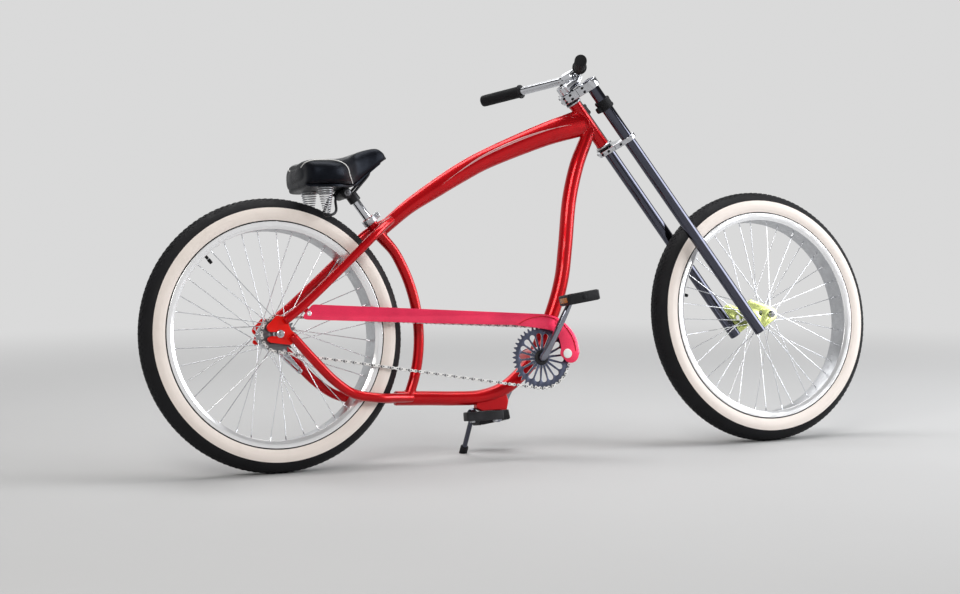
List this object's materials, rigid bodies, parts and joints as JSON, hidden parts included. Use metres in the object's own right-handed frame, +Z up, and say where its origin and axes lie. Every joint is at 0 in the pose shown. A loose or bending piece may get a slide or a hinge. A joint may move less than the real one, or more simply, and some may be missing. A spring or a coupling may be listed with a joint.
{
  "type": "chopper bicycle",
  "caption": "Long-fork cruiser bicycle with curved tubes, fat whitewall tyres, coaster hub, spring saddle and kickstand",
  "frame": {"origin": "on the floor, under the middle of the bicycle's bounding box", "axes": "+X forward, the way it rides; +Y to the rider's left, the side of the kickstand it leans toward; +Z up"},
  "size_m": [2.1293, 0.5664, 1.054],
  "materials": {
    "black_metal": "black satin",
    "candy_red": "candy red gloss paint",
    "chrome": "polished",
    "dropout_red": "bright red gloss paint",
    "gold_lime": "yellow-green plating",
    "guard_red": "pink-tinted candy red gloss paint",
    "plastic": "moulded",
    "rubber": "matt",
    "silver": "bare metal",
    "steel": "plain steel",
    "tyre": "black rubber; the pale sidewall band belongs to the scene",
    "vinyl": "smooth black cover",
    "white": "white"
  },
  "bodies": {
    "frame": {"head_tube": "candy_red", "top_tube": "candy_red", "down_tube": "candy_red", "bottom_bracket_shell": "candy_red", "lower_tube": "candy_red", "seat_tube": "candy_red", "seat_stay_right": "candy_red", "seat_stay_left": "candy_red", "chain_stay_right": "candy_red", "chain_stay_left": "candy_red", "dropout_right": "dropout_red", "dropout_left": "dropout_red", "kickstand_plate": "candy_red", "kickstand_bracket": "black_metal", "headset_upper": "black_metal", "headset_lower": "black_metal", "crank_cup_right": "chrome", "crank_cup_left": "chrome", "chain_guard": "guard_red", "guard_cap": "white", "seat_clamp": "silver", "rear_axle": "steel", "brake_arm": "chrome", "brake_arm_clip": "candy_red", "chain": "silver"},
    "steering": {"fork_leg_right": "chrome", "fork_leg_left": "chrome", "steerer": "steel", "upper_clamp": "chrome", "lower_clamp": "chrome", "stem": "chrome", "handlebar": "chrome", "grip_right": "rubber", "grip_left": "rubber", "bumper_right": "rubber", "bumper_left": "rubber", "axle_plate_right": "gold_lime", "axle_plate_left": "gold_lime", "front_axle": "steel"},
    "front_wheel": {"front_tyre": "tyre", "front_rim": "chrome", "front_hub": "silver"},
    "rear_wheel": {"rear_tyre": "tyre", "rear_rim": "chrome", "rear_hub": "silver"},
    "driver": {"rear_sprocket": "black_metal"},
    "crankset": {"crank": "chrome", "chainring": "black_metal", "pedal_spindle_right": "chrome", "pedal_spindle_left": "chrome"},
    "pedal_right": {"pedal_right": "plastic"},
    "pedal_left": {"pedal_left": "plastic"},
    "kickstand": {"kickstand_leg": "chrome", "kickstand_foot": "rubber"},
    "seat": {"seat_post": "chrome", "saddle_clamp": "black_metal", "saddle_rails": "black_metal", "spring_right": "chrome", "spring_left": "chrome", "saddle": "vinyl"}
  },
  "joints": [
    {"name": "steering", "type": "hinge", "parent": "frame", "child": "steering", "pos_m": [0.217, -0.01686, 0.87452], "axis": [-0.5736, 0.1197, 0.8104], "range_deg": [-58, 52]},
    {"name": "front_wheel_spin", "type": "hinge", "parent": "steering", "child": "front_wheel", "pos_m": [0.71764, -0.09009, 0.3421], "axis": [-0.0429, 0.9835, -0.1756], "continuous": true},
    {"name": "rear_wheel_spin", "type": "hinge", "parent": "frame", "child": "rear_wheel", "pos_m": [-0.717, -0.09524, 0.34377], "axis": [0, 0.9893, -0.1461], "continuous": true},
    {"name": "crank_spin", "type": "hinge", "parent": "frame", "child": "crankset", "pos_m": [0.01, -0.10831, 0.25523], "axis": [0, 0.9893, -0.1461], "continuous": true, "deforming": ["chain"]},
    {"name": "driver_spin", "type": "hinge", "parent": "frame", "child": "driver", "pos_m": [-0.717, -0.09524, 0.34377], "axis": [0, 0.9893, -0.1461], "continuous": true},
    {"name": "pedal_right_spin", "type": "hinge", "parent": "crankset", "child": "pedal_right", "pos_m": [0.08259, -0.08667, 0.40182], "axis": [0, 0.9893, -0.1461], "continuous": true},
    {"name": "pedal_left_spin", "type": "hinge", "parent": "crankset", "child": "pedal_left", "pos_m": [-0.06259, -0.12996, 0.10865], "axis": [0, 0.9893, -0.1461], "continuous": true},
    {"name": "kickstand_fold", "type": "hinge", "parent": "frame", "child": "kickstand", "pos_m": [-0.16596, -0.10259, 0.11597], "axis": [0, 0.8028, 0.5962], "range_deg": [0, 92]},
    {"name": "seat_height", "type": "slide", "parent": "frame", "child": "seat", "axis": [-0.5736, 0.1197, 0.8104], "range_m": [-0.008, 0.02]}
  ],
  "couplings": [
    {"joint": "driver_spin", "follows": "crank_spin", "ratio": 1.8182}
  ]
}
